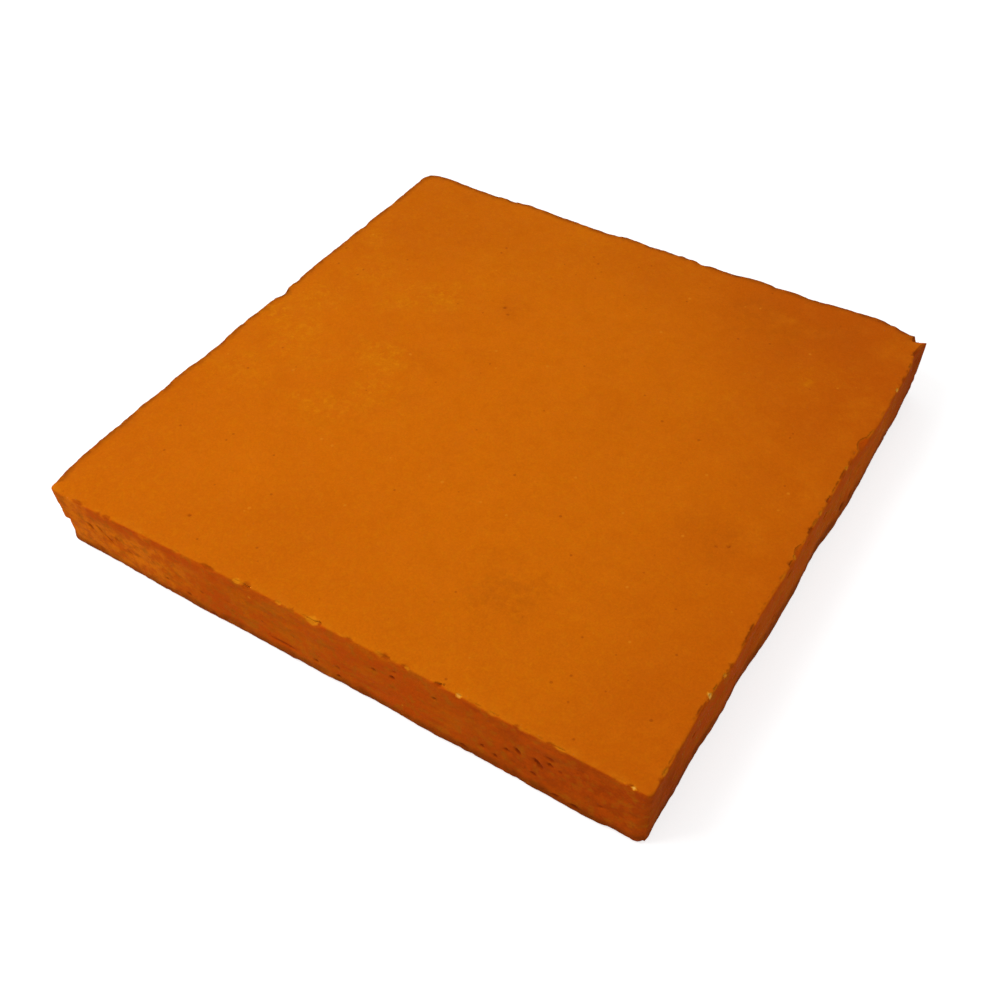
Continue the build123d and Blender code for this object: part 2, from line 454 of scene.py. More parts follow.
# Crumbs lost from an arris: their width in millimetres, the noise's height at which one starts, how
# deep it goes in millimetres for each 1 past that, and the seed
CRUMBS = ((2.1, 0.0, 0.2, 41), (4.5, 0.1, 0.4, 42), (12, 0.15, 0.7, 43))
FACE_WEAR_WIDTH = 1.5 * MM
BED_WEAR_WIDTH = 2.8 * MM
BED_WEAR = 1.1
PALE_CRUMB_DEPTH = 0.6 * MM
RIGHT_PALENESS = 0.4


def face_relief(slab):
    """The face, struck off flat: a slow swell, a sandy skin and the strike's faint lines."""
    struck = layered(slab.points * STRIKE_STRETCH, STRIKE_LAYERS)
    return slab.on_face * (FACE_DEPTH + layered(slab.points, FACE_LAYERS) + struck)


def side_relief(slab):
    """The sides: flat where the clay met the mould, with lumps, sideways drag and sand between."""
    lumps = layered(slab.points, LUMP_LAYERS) + layered(slab.points, DRAG_LAYERS, DRAG_FLATTENING)
    sand = SIDE_SAND_DEPTH + layered(slab.points, SIDE_SAND_LAYERS)
    return slab.on_side * (np.maximum(lumps + LUMP_DEPTH, 0) + sand)


def bed_relief(slab):
    """The bed, which lay on a sanded board."""
    board = layered(slab.points * BOARD_STRETCH, BOARD_LAYERS)
    return slab.on_bed * (BED_DEPTH + layered(slab.points, BED_LAYERS) + board)


def fold_relief(slab):
    """The step in the front left corner, where the clay folded as it was pressed in."""
    x, y, z = slab.points.T
    away = np.hypot(x - CAD_LOW.x, y - CAD_LOW.y) + layered(slab.points, FOLD_REACH_LAYERS)
    height = z + layered(slab.points, FOLD_TOP_LAYERS)
    step = smoothstep(*FOLD_REACH, away) * smoothstep(*FOLD_TOP, height) * smoothstep(*FOLD_FOOT, z)
    return slab.on_side * step * FOLD_DEPTH


def arris_relief(slab):
    """Crumbled arrises, with how pale the worn clay is."""
    near_face = np.exp(-(slab.under_face / FACE_WEAR_WIDTH) ** 2)
    near_bed = np.exp(-(slab.over_bed / BED_WEAR_WIDTH) ** 2)
    crumbs = sum(
        np.maximum(noise(slab.points, width * MM, seed) - start, 0) * depth * MM
        for width, start, depth, seed in CRUMBS
    )
    pale = np.clip(crumbs / PALE_CRUMB_DEPTH, 0, 1) * np.where(slab.sheet == RIGHT, RIGHT_PALENESS, 1)
    return (near_face + near_bed * BED_WEAR) * crumbs, near_face * pale


def hollow_shape(slab, sheet, along, up, length, width, tilt):
    """The points of a sheet inside an oval hollow, and how far from its rim, 1 in its middle."""
    near = np.flatnonzero(
        (slab.sheet == SHEET_NAMES.index(sheet))
        & (abs(slab.along - along) < length)
        & (abs(slab.up - up) < length)
    )
    right = slab.along[near] - along
    rise = slab.up[near] - up
    lengthwise = (right * cos(tilt) + rise * sin(tilt)) / (length / 2)
    crosswise = (rise * cos(tilt) - right * sin(tilt)) / (width / 2)
    inside = np.clip(1 - lengthwise**2 - crosswise**2, 0, 1)
    return near, inside


# Hollows strewn at random on a flat: how many, and the deepest in millimetres. Then how many are
# strewn on each side, how far they keep from its ends, and how the wall of any hollow curves.
FLAT_HOLLOWS = {"face": (60, 0.25), "bed": (190, 0.6)}
SIDE_HOLLOWS = 90
HOLLOW_MARGIN = 4
HOLLOW_CURVE = 1.5
HOLLOW_SHADE = (0.05 * MM, 0.6 * MM)

# Chips strewn at random along each side, the band under the arris that any chip may reach, how
# ragged its rim is and where it fades. A chip that is less pale than the last value is old.
SIDE_CHIPS = 24
CHIP_MARGIN = 3
CHIP_BAND = 6 * MM
RAGGED_WIDTH = 1.9 * MM
RAGGEDNESS = 0.35
CHIP_FADE = (1.5, 1.1)
CHIP_RIM = (0.05, 0.45)
OLD_PALENESS = 0.12


def random_hollows():
    """Small hollows strewn over every sheet, in the form of the placed ones."""
    draw = np.random.default_rng(7)
    half = CAD_HIGH.x / MM - HOLLOW_MARGIN
    for sheet, (count, deepest) in FLAT_HOLLOWS.items():
        for _ in range(count):
            length = draw.uniform(1.4, 2.8)
            width = length * draw.uniform(0.6, 1)
            place = draw.uniform(-half, half, 2)
            yield sheet, *place, length, width, deepest * draw.uniform(0.3, 1), draw.uniform(-90, 90)
    for sheet in SIDE_NAMES:
        for _ in range(SIDE_HOLLOWS):
            length = 1.5 + draw.gamma(1.2, 1.0)
            width = max(1.4, length * draw.uniform(0.35, 0.9))
            up = draw.uniform(2, THICKNESS / MM - 4)
            depth = 0.08 + width * draw.uniform(0.02, 0.16)
            yield sheet, draw.uniform(-half, half), up, length, width, depth, draw.normal(-10, 30)


def hollow_relief(slab):
    """Every hollow, with how much painted shade lies down in it."""
    depth = np.zeros(len(slab.points))
    for sheet, along, up, length, width, deep, tilt in (*HOLLOWS, *random_hollows()):
        near, inside = hollow_shape(
            slab, sheet, along * MM, up * MM, length * MM, width * MM, radians(tilt)
        )
        depth[near] = np.maximum(depth[near], inside**HOLLOW_CURVE * deep * MM)
    return depth, smoothstep(*HOLLOW_SHADE, depth)


def random_chips():
    """Small chips strewn along the face's arris, in the form of the placed ones."""
    draw = np.random.default_rng(19)
    half = CAD_HIGH.x / MM - CHIP_MARGIN
    for side in SIDE_NAMES:
        for _ in range(SIDE_CHIPS):
            reach = draw.uniform(1.2, 2.4)
            length = reach * draw.uniform(1.5, 4)
            pale = max(draw.uniform(-0.5, 0.3), 0)
            yield side, draw.uniform(-half, half), length, reach, reach * draw.uniform(0.08, 0.24), pale


def chip_relief(slab):
    """Every chip in the face's arris, with how pale its broken clay is, and where it is old."""
    depth = np.zeros(len(slab.points))
    pale = np.zeros(len(slab.points))
    old = np.zeros(len(slab.points))
    band = np.flatnonzero(abs(slab.under_face) < CHIP_BAND)
    points = slab.points[band]
    ragged = noise(points, RAGGED_WIDTH, 51) * RAGGEDNESS
    side = side_number(points[:, 0], points[:, 1])
    for name, run, length, reach, deep, paleness in (*CHIPS, *random_chips()):
        along = (points @ np.array(SHEETS[name][0], float) - run * MM) / (length / 2 * MM)
        across = slab.under_face[band] / (reach * MM)
        inside = np.clip(1 - along**2 - across**2 + ragged, 0, 1) * (side == SHEET_NAMES.index(name))
        inside *= smoothstep(*CHIP_FADE, abs(along)) * smoothstep(*CHIP_FADE, abs(across))
        depth[band] = np.maximum(depth[band], inside * deep * MM)
        broken = smoothstep(*CHIP_RIM, inside)
        pale[band] = np.maximum(pale[band], broken * paleness)
        old[band] = np.maximum(old[band], broken * (paleness < OLD_PALENESS))
    return depth, pale, old


# The zones of colour, in millimetres. Each pair runs from where a colour starts to where it is full:
# along the front side, along the right side, down from the face's arris or up from the bed.
FRONT_OCHRE = (-42, -100)
FRONT_BROWN = (20, 120)
FRONT_RED_START = (-136, -120)
FRONT_RED_END = (0, -60)
RIGHT_OCHRE_START = (-100, 30)
RIGHT_OCHRE_END = (135, 90)
RIGHT_BROWN_NEAR = (-70, -135)
RIGHT_BROWN_FAR = (105, 145)
RIGHT_DARK_NEAR = (-100, -138)
RIGHT_DARK_FAR = (80, 125)
RED_UNDER_ARRIS = (10, 4)
# Painted shade along the foot, up from the bed
FOOT_SHADE = (8.0, 3.4)

# The red streak low on the front side: its middle, how far it is stretched, and its soft rim
STREAK_MIDDLE = (-19.5, 8.6)
STREAK_STRETCH = (7, 1.2)
STREAK_RIM = (2.2, 1.0)

# On the face: where it is lighter towards its middle, the rust towards its back right corner and its
# right side, and the rim's painted highlight and the darker band in from its arris and down from it
LIGHTER_MIDDLE_X = -15
LIGHTER_MIDDLE_REACH = (168, 28)
RUST_SLANT = 0.75
RUST_CORNER = (70, 230)
RUST_EDGE = (70, 160)
# The rim is a painted highlight along the face's arris
HIGHLIGHT_IN = (-4, -1)
HIGHLIGHT_DOWN = (2, 0.3)
DARK_ARRIS_IN = (-4.6, -1.3)
DARK_ARRIS_DOWN = (5, 1)

# How strong the marks are where they aren't full, and how much higher the painted shade of the foot reaches
# up the right side
RIGHT_OCHRE_SHARE = 0.5
HIDDEN_OCHRE_SHARE = 0.5
RIGHT_BROWN_LEAST = 0.4
RIGHT_RED_SHARE = 0.8
CORNER_RUST_SHARE = 0.75
EDGE_RUST_SHARE = 0.5
RIGHT_DARK_SHARE = 0.4
RIGHT_HIGHLIGHT_SHARE = 0.35
LEFT_DARK_ARRIS_SHARE = 0.9
BED_WITHOUT_SHADE = 0.8
RIGHT_FOOT_STRETCH = 1.6

# The ochre patches of the two hidden sides: their width, their seed and the noise that they fill
HIDDEN_PATCH_WIDTH = 60 * MM
HIDDEN_PATCH_SEED = 62
HIDDEN_PATCH_RISE = (-0.1, 0.5)

# How the bounds of zones stray: the width of their bends and how far they go, in millimetres, and
# the seed. The rims of spots fray by shares of the spot's reach instead.
SIDE_STRAY = (30, 14, 61)
CORNER_STRAY = (45, 35, 63)
FOOT_STRAY = (7, 1.5, 65)
ARRIS_STRAY = (9, 4, 66)
LIGHTER_MIDDLE_STRAY = (50, 35, 67)
EDGE_STRAY = (40, 25, 68)
SPOT_FRAY = ((14, 0.7), (5, 0.5))
SPOT_FADE = (1.5, 0.2)


def strayed(points, width, reach, seed):
    """How far the bound of a zone strays at each point, in millimetres."""
    return noise(points, width * MM, seed) * reach


def spotted(slab, spots, seed):
    """Soft spots on the face, frayed by noise, with the strength that each row gives."""
    x, y = slab.points[:, 0] / MM, slab.points[:, 1] / MM
    fray = sum(
        noise(slab.points, width * MM, seed + step) * share
        for step, (width, share) in enumerate(SPOT_FRAY)
    )
    total = np.zeros(len(x))
    for spot_x, spot_y, reach, strength in spots:
        away = np.hypot(x - spot_x, y - spot_y) / reach
        spot = smoothstep(*SPOT_FADE, away + fray * np.minimum(away, 1))
        total = np.maximum(total, strength * spot)
    return total * slab.on_face


def colour_marks(slab):
    """Where the clay is ochre, red or dirty. The material reads each mark by its name."""
    points = slab.points
    x, y, z = points.T / MM
    under = slab.under_face / MM
    side = side_number(x, y)
    on_front = slab.on_side * (side == FRONT)
    on_right = slab.on_side * (side == RIGHT)
    on_others = slab.on_side * (side > RIGHT)

    # The front is ochre at its left end and browner to the right, with a red streak low down
    stray = strayed(points, *SIDE_STRAY)
    front_ochre = smoothstep(*FRONT_OCHRE, x + stray)
    front_brown = smoothstep(*FRONT_BROWN, x + stray)
    below_arris = smoothstep(*RED_UNDER_ARRIS, under + strayed(points, *ARRIS_STRAY))
    red_left = below_arris * smoothstep(*FRONT_RED_START, x) * smoothstep(*FRONT_RED_END, x)
    streak_x = (x - STREAK_MIDDLE[0]) / STREAK_STRETCH[0]
    streak_z = (z - STREAK_MIDDLE[1]) / STREAK_STRETCH[1]
    red_streak = smoothstep(*STREAK_RIM, np.hypot(streak_x, streak_z))

    # The right side is brown at both ends, where it is also darkest
    right_ochre = smoothstep(*RIGHT_OCHRE_START, y + stray) * smoothstep(*RIGHT_OCHRE_END, y)
    brown_ends = np.maximum(smoothstep(*RIGHT_BROWN_NEAR, y + stray), smoothstep(*RIGHT_BROWN_FAR, y))
    right_brown = np.maximum(brown_ends, RIGHT_BROWN_LEAST)
    right_end_dark = smoothstep(*RIGHT_DARK_NEAR, y + stray) + smoothstep(*RIGHT_DARK_FAR, y)
    patchy = smoothstep(*HIDDEN_PATCH_RISE, noise(points, HIDDEN_PATCH_WIDTH, HIDDEN_PATCH_SEED))
    ochre = on_front * front_ochre + on_right * right_ochre * RIGHT_OCHRE_SHARE
    ochre += on_others * patchy * HIDDEN_OCHRE_SHARE

    # The face is lightest towards its middle, and rusty towards the right and the back
    away = np.hypot(x - LIGHTER_MIDDLE_X, y) + strayed(points, *LIGHTER_MIDDLE_STRAY)
    corner = smoothstep(*RUST_CORNER, x + RUST_SLANT * y + strayed(points, *CORNER_STRAY))
    right_edge = smoothstep(*RUST_EDGE, x + strayed(points, *EDGE_STRAY))
    rust = np.maximum(CORNER_RUST_SHARE * corner, EDGE_RUST_SHARE * right_edge)

    # Painted shade lies along the foot, the right side darkens towards its ends, and the face's arris is
    # darker on the back and left sides
    foot_height = np.where(side == RIGHT, RIGHT_FOOT_STRETCH, 1)
    foot = smoothstep(*FOOT_SHADE, z / foot_height + strayed(points, *FOOT_STRAY))
    foot = np.maximum(foot, RIGHT_DARK_SHARE * on_right * right_end_dark)
    dark_arris = smoothstep(*DARK_ARRIS_IN, under) * smoothstep(*DARK_ARRIS_DOWN, under)
    # The rim is a painted highlight along the face's arris, weaker on the right side
    rim = smoothstep(*HIGHLIGHT_IN, under) * smoothstep(*HIGHLIGHT_DOWN, under)
    return {
        "side": slab.on_side,
        "bed": slab.on_bed,
        "ochre": ochre,
        "brown": on_front * front_brown + on_right * right_brown,
        "red": on_front * np.maximum(red_left, red_streak) + on_right * below_arris * RIGHT_RED_SHARE,
        # Lighter towards the middle of the face
        "lighter_middle": slab.on_face * smoothstep(*LIGHTER_MIDDLE_REACH, away),
        "rust": slab.on_face * rust,
        # The foot is painted shade, and it also darkens the right side's ends
        "foot": foot * (1 - BED_WITHOUT_SHADE * slab.on_bed),
        "rim": rim * np.where(side == RIGHT, RIGHT_HIGHLIGHT_SHARE, 1),
        # Darker along the face's arris on the back and left sides
        "dark_arris": dark_arris * np.select([side == BACK, side == LEFT], [1, LEFT_DARK_ARRIS_SHARE], 0),
        "dust": spotted(slab, DUST, 71),
        "smudge": spotted(slab, SMUDGES, 73),
    }


# The mesh

def make_mesh_object(name, points, quads):
    """A new object with the given points and faces."""
    mesh = bpy.data.meshes.new(name)
    mesh.from_pydata(points.tolist(), [], quads.tolist())
    mesh.polygons.foreach_set("use_smooth", np.ones(len(quads), bool))
    piece = bpy.data.objects.new(name, mesh)
    bpy.context.scene.collection.objects.link(piece)
    return piece


def thinned(piece, triangles):
    """Leaves the mesh with about so many triangles, most of them where the relief is sharpest."""
    full = sum(len(polygon.vertices) - 2 for polygon in piece.data.polygons)
    thinning = piece.modifiers.new("thinning", "DECIMATE")
    thinning.ratio = triangles / full
    thinning.use_collapse_triangulate = True
    graph = bpy.context.evaluated_depsgraph_get()
    mesh = bpy.data.meshes.new_from_object(piece.evaluated_get(graph))
    piece.modifiers.clear()
    before = piece.data
    piece.data = mesh
    bpy.data.meshes.remove(before)


def keep_inside(piece):
    """Pulls back any point that the thinning moved out of the slab's box."""
    mesh = piece.data
    places = np.empty(len(mesh.vertices) * 3, np.float32)
    mesh.vertices.foreach_get("co", places)
    inside = np.clip(places.reshape(-1, 3), np.array(CAD_LOW), np.array(CAD_HIGH))
    mesh.vertices.foreach_set("co", inside.astype(np.float32).ravel())


def add_marks(piece, marks):
    """Keeps a value for each point, which the material reads by name."""
    for name, values in marks.items():
        layer = piece.data.attributes.new(name, "FLOAT", "POINT")
        layer.data.foreach_set("value", values.astype(np.float32))


def read_mark(mesh, name):
    """The values of one mark."""
    values = np.empty(len(mesh.vertices), np.float32)
    mesh.attributes[name].data.foreach_get("value", values)
    return values


# Each sheet's middle in the unit square of the surface map. A side gets twice a flat's scale.
FLAT_SCALE = 1.57
SIDE_SCALE = 3.15
SHEET_MIDDLES = {
    "front": (0.5, 0.06),
    "right": (0.5, 0.18),
    "back": (0.5, 0.30),
    "left": (0.5, 0.42),
    "face": (0.25, 0.75),
    "bed": (0.75, 0.75),
}


def add_surface_map(piece):
    """Lays the six sheets out flat side by side, each cut from the next along its arris."""
    mesh = piece.data
    places = np.empty(len(mesh.vertices) * 3, np.float32)
    mesh.vertices.foreach_get("co", places)
    places = places.reshape(-1, 3)
    corners = np.empty(len(mesh.loops), np.int32)
    mesh.loops.foreach_get("vertex_index", corners)
    triangles = corners.reshape(-1, 3)
    x, y, z = places[triangles].mean(1).T
    under_face = read_mark(mesh, "under_face")[triangles].mean(1)
    over_bed = read_mark(mesh, "over_bed")[triangles].mean(1)
    high = z > THICKNESS / 2
    on_face = high & (under_face < 0)
    on_bed = ~high & (over_bed < 0)
    flats = np.where(high, FACE, BED)
    sheet = np.repeat(np.where(on_face | on_bed, flats, side_number(x, y)), 3)
    ways = np.array([SHEETS[name] for name in SHEET_NAMES], float)[sheet]
    middles = np.array([SHEET_MIDDLES[name] for name in SHEET_NAMES])[sheet]
    scale = np.where(sheet < len(SIDE_NAMES), SIDE_SCALE, FLAT_SCALE)
    along = (places[corners] * ways[:, 0]).sum(1)
    up = (places[corners] * ways[:, 1]).sum(1) - np.where(sheet < len(SIDE_NAMES), THICKNESS / 2, 0)
    layer = mesh.uv_layers.new(name="OFBake")
    laid = middles + np.stack([along, up], 1) * scale[:, None]
    layer.uv.foreach_set("vector", laid.astype(np.float32).ravel())
    for name in ("under_face", "over_bed"):
        mesh.attributes.remove(mesh.attributes[name])


def make_tile():
    """The dressed tile, which stands for the plain slab."""
    slab = Slab(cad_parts["tile"])
    worn_depth, worn = arris_relief(slab)
    hollow_depth, hollow = hollow_relief(slab)
    chip_depth, pale, old = chip_relief(slab)
    depth = face_relief(slab) + side_relief(slab) + bed_relief(slab) + fold_relief(slab)
    depth = np.maximum(depth, 0) + worn_depth + hollow_depth + chip_depth
    marks = colour_marks(slab)
    # The hollow mark is painted shade, strongest where a hollow is deepest
    marks.update({"worn": worn, "hollow": hollow, "pale": pale, "old": old})
    marks.update({"under_face": slab.under_face, "over_bed": slab.over_bed})
    points = slab.points - normals_of(slab.points, slab.quads) * depth[:, None]
    points = np.clip(points, np.array(CAD_LOW), np.array(CAD_HIGH))
    piece = make_mesh_object("terracotta_tile", points, slab.quads)
    add_marks(piece, marks)
    thinned(piece, FINAL_TRIANGLES)
    keep_inside(piece)
    add_surface_map(piece)
    return piece


# The fired clay

class Paint:
    """Adds nodes to a material or a world, each joined to the ones that it reads."""

    def __init__(self, owner):
        owner.use_nodes = True
        self.nodes = owner.node_tree.nodes
        self.links = owner.node_tree.links

    def add(self, kind, inputs=None, **settings):
        """A new node. Each input is a value or another node's output."""
        node = self.nodes.new(kind)
        for name, value in settings.items():
            setattr(node, name, value)
        for name, value in (inputs or {}).items():
            if isinstance(value, bpy.types.NodeSocket):
                self.links.new(value, node.inputs[name])
            else:
                node.inputs[name].default_value = value
        return node

    def mark(self, name):
        """A mark kept on the points of the mesh."""
        return self.add("ShaderNodeAttribute", attribute_name=name).outputs["Fac"]

    def noise(self, place, size, detail, low, high, roughness=0.5, distortion=0.0):
        """Random values from 0 to 1 whose patches are about so long, drawn apart between limits."""
        inputs = {
            "Vector": place,
            "Scale": 1 / size,
            "Detail": detail,
            "Roughness": roughness,
            "Distortion": distortion,
        }
        fac = self.add("ShaderNodeTexNoise", inputs).outputs["Fac"]
        return self.between(fac, low, high)

    def between(self, value, low, high):
        """0 where the value is low, 1 where it is high and a smooth rise between them."""
        inputs = {"Value": value, "From Min": low, "From Max": high}
        return self.add("ShaderNodeMapRange", inputs, interpolation_type="SMOOTHSTEP").outputs["Result"]

    def math(self, operation, first, second):
        """Arithmetic on two values."""
        return self.add("ShaderNodeMath", {0: first, 1: second}, operation=operation).outputs["Value"]

    def times(self, first, second):
        """Two values multiplied."""
        return self.math("MULTIPLY", first, second)

    def over(self, under, colour, share, blend="MIX"):
        """A colour laid over another by a share."""
        inputs = {"Factor": share, "A": under, "B": colour}
        mix = self.add("ShaderNodeMix", inputs, data_type="RGBA", blend_type=blend)
        return mix.outputs["Result"]

    def blended(self, share, low, high):
        """A value between two others, by a share."""
        inputs = {"Factor": share, "A": low, "B": high}
        return self.add("ShaderNodeMix", inputs, data_type="FLOAT").outputs["Result"]

    def patches(self, colour, place, layers):
        """The colour with layers of patches over it, each where its mark and its noise say."""
        for laid, mark, size, detail, low, high, roughness, distortion, strength in layers:
            share = self.noise(place, size * MM, detail, low, high, roughness, distortion)
            if mark:
                share = self.times(self.mark(mark), share)
            colour = self.over(colour, laid, self.times(share, strength))
        return colour


# The clay's colours, as linear red, green and blue, and cover
ORANGE = (0.580, 0.126, 0.001, 1)
LIGHT_ORANGE = (0.615, 0.137, 0.001, 1)
DEEP_ORANGE = (0.550, 0.114, 0.001, 1)
MIDDLE_ORANGE = (0.640, 0.143, 0.001, 1)
DUST_YELLOW = (0.620, 0.172, 0.001, 1)
DUST_PALE = (0.690, 0.205, 0.002, 1)
RUST = (0.490, 0.080, 0.001, 1)
SMUDGE_BROWN = (0.430, 0.090, 0.001, 1)
SIDE_BROWN = (0.565, 0.110, 0.001, 1)
SIDE_RED = (0.545, 0.073, 0.001, 1)
SIDE_OLIVE = (0.455, 0.108, 0.002, 1)
SIDE_OCHRE = (0.730, 0.162, 0.002, 1)
SIDE_DARK = (0.420, 0.054, 0.001, 1)
BED_BROWN = (0.520, 0.120, 0.003, 1)
# Laid as painted shade along the foot, also darkening the right side's ends, and in the darker band along
# the back and left arrises
FOOT_BROWN = (0.200, 0.036, 0.001, 1)
# The painted shade in the hollows
PIT_SHADE_BROWN = (0.170, 0.014, 0.001, 1)
CHIP_BROWN = (0.330, 0.040, 0.001, 1)
CHIP_YELLOW = (0.700, 0.210, 0.004, 1)
CHIP_PALE = (0.880, 0.420, 0.070, 1)
# Laid as pale wear on crumbled arrises, and as the painted highlight along the face's arris
WORN_AND_HIGHLIGHT_YELLOW = (0.620, 0.165, 0.003, 1)
SPECK_DARK = (0.300, 0.050, 0.001, 1)
SPECK_PALE = (0.700, 0.210, 0.008, 1)

# Layers of patches, from the lowest up: the colour, the mark that it follows, if any, the patches'
# length in millimetres, then the noise's detail, low and high limits, roughness and distortion,
# and how strongly the colour is laid
FACE_PATCHES = (
    (LIGHT_ORANGE, None, 60, 5, 0.32, 0.68, 0.55, 0.0, 1.0),
    (ORANGE, None, 17, 5, 0.3, 0.7, 0.6, 0.0, 1.0),
    # Lighter towards the middle of the face
    (MIDDLE_ORANGE, "lighter_middle", 20, 4, 0.1, 0.6, 0.5, 0.0, 0.7),
    (DEEP_ORANGE, None, 6, 4, 0.45, 0.75, 0.6, 0.0, 0.4),
    (DUST_YELLOW, None, 2.6, 4, 0.45, 0.7, 0.6, 0.0, 0.3),
    (RUST, "rust", 24, 5, 0.15, 0.55, 0.6, 0.0, 1.0),
    (DUST_YELLOW, "dust", 9, 6, 0.38, 0.62, 0.65, 0.0, 0.6),
    (DUST_PALE, "dust", 3.2, 5, 0.5, 0.64, 0.65, 0.0, 0.6),
    (SMUDGE_BROWN, "smudge", 5, 5, 0.35, 0.65, 0.6, 0.0, 0.5),
    # The rim is a painted highlight along the face's arris
    (WORN_AND_HIGHLIGHT_YELLOW, "rim", 8, 4, 0.4, 0.75, 0.5, 0.0, 0.7),
)
DRAGGED_PATCHES = (
    (SIDE_RED, None, 26, 6, 0.4, 0.62, 0.62, 0.0, 1.0),
    (SIDE_OLIVE, None, 14, 6, 0.5, 0.68, 0.6, 0.4, 0.8),
)
SIDE_PATCHES = (
    (SIDE_OCHRE, "ochre", 13, 6, 0.2, 0.55, 0.65, 0.6, 1.0),
    (SIDE_DARK, "brown", 18, 5, 0.1, 0.6, 0.6, 0.0, 1.0),
    (SIDE_RED, "red", 7, 5, 0.2, 0.6, 0.6, 0.0, 1.0),
    (SIDE_RED, None, 4, 5, 0.42, 0.64, 0.6, 0.0, 0.65),
)
SHADED_PATCHES = (
    (SIDE_OLIVE, None, 5, 5, 0.48, 0.68, 0.6, 0.0, 0.7),
)
BED_PATCHES = (
    (SIDE_OCHRE, None, 30, 6, 0.4, 0.65, 0.6, 0.0, 1.0),
    (SIDE_DARK, None, 45, 6, 0.5, 0.7, 0.6, 0.0, 0.6),
)
FOOT_SHADE_AND_EDGE_PATCHES = (
    # The foot is painted shade
    (FOOT_BROWN, "foot", 6, 5, 0.15, 0.6, 0.6, 0.0, 0.8),
    (WORN_AND_HIGHLIGHT_YELLOW, "worn", 1.6, 3, 0.4, 0.65, 0.5, 0.0, 0.6),
    # Darker along the face's arris on the back and left sides
    (FOOT_BROWN, "dark_arris", 5, 4, 0.2, 0.6, 0.6, 0.0, 0.72),
)

# Patches are drawn out along the sides, and the shaded ones are taken from elsewhere in the noise
DRAG_SCALE = (1, 1, 1.9)
ELSEWHERE = (3, 5, 7)

# Grit shows as specks: the spacing of its cells, a speck's radius and its strength. Only cells
# whose random value is past the first limit have a speck, which is largest at the second.
PALE_GRIT = (7 * MM, 1.1 * MM, 0.55)
DARK_GRIT = (5 * MM, 0.9 * MM, 0.5)
GRIT_CHANCE = (0.72, 1.0)
GRIT_RIM = (0.0, 0.08)

# How strongly old chips are coloured and hollows darkened by painted shade, and the paleness at
# which a fresh chip turns yellow and then pale
OLD_CHIP_SHARE = 0.55
PIT_SHADE_SHARE = 0.7
YELLOW_CHIPS = (0.0, 0.6)
PALE_CHIPS = (0.6, 1.0)

# The skin: how the grain shades the colour, the roughness, the shine and the bump
GRAIN_SHADE = (0.93, 1.06)
ROUGHNESS = (0.8, 0.97)
SHINE = 0.03
BUMP_LUMP_SHARE = 0.45
BUMP_HEIGHT = 0.35 * MM
FACE_BUMP = 0.28
SIDE_EXTRA_BUMP = 0.4


def speckled(paint, colour, speck_colour, place, cell, radius, strength):
    """The colour with round specks in some cells of a random pattern."""
    inputs = {"Vector": place, "Scale": 1 / cell, "Randomness": 1.0}
    voronoi = paint.add("ShaderNodeTexVoronoi", inputs)
    chance = paint.add("ShaderNodeSeparateColor", {"Color": voronoi.outputs["Color"]}).outputs["Red"]
    size = paint.times(paint.between(chance, *GRIT_CHANCE), radius / cell)
    inside = paint.math("SUBTRACT", size, voronoi.outputs["Distance"])
    return paint.over(colour, speck_colour, paint.times(paint.between(inside, *GRIT_RIM), strength))


def side_colour(paint, place):
    """Browner and redder than the face, with olive and ochre patches."""
    dragged = paint.add("ShaderNodeMapping", {"Vector": place, "Scale": DRAG_SCALE}).outputs["Vector"]
    colour = paint.patches(SIDE_BROWN, dragged, DRAGGED_PATCHES)
    colour = paint.patches(colour, place, SIDE_PATCHES)
    elsewhere = paint.add("ShaderNodeMapping", {"Vector": place, "Location": ELSEWHERE}).outputs["Vector"]
    return paint.patches(colour, elsewhere, SHADED_PATCHES)


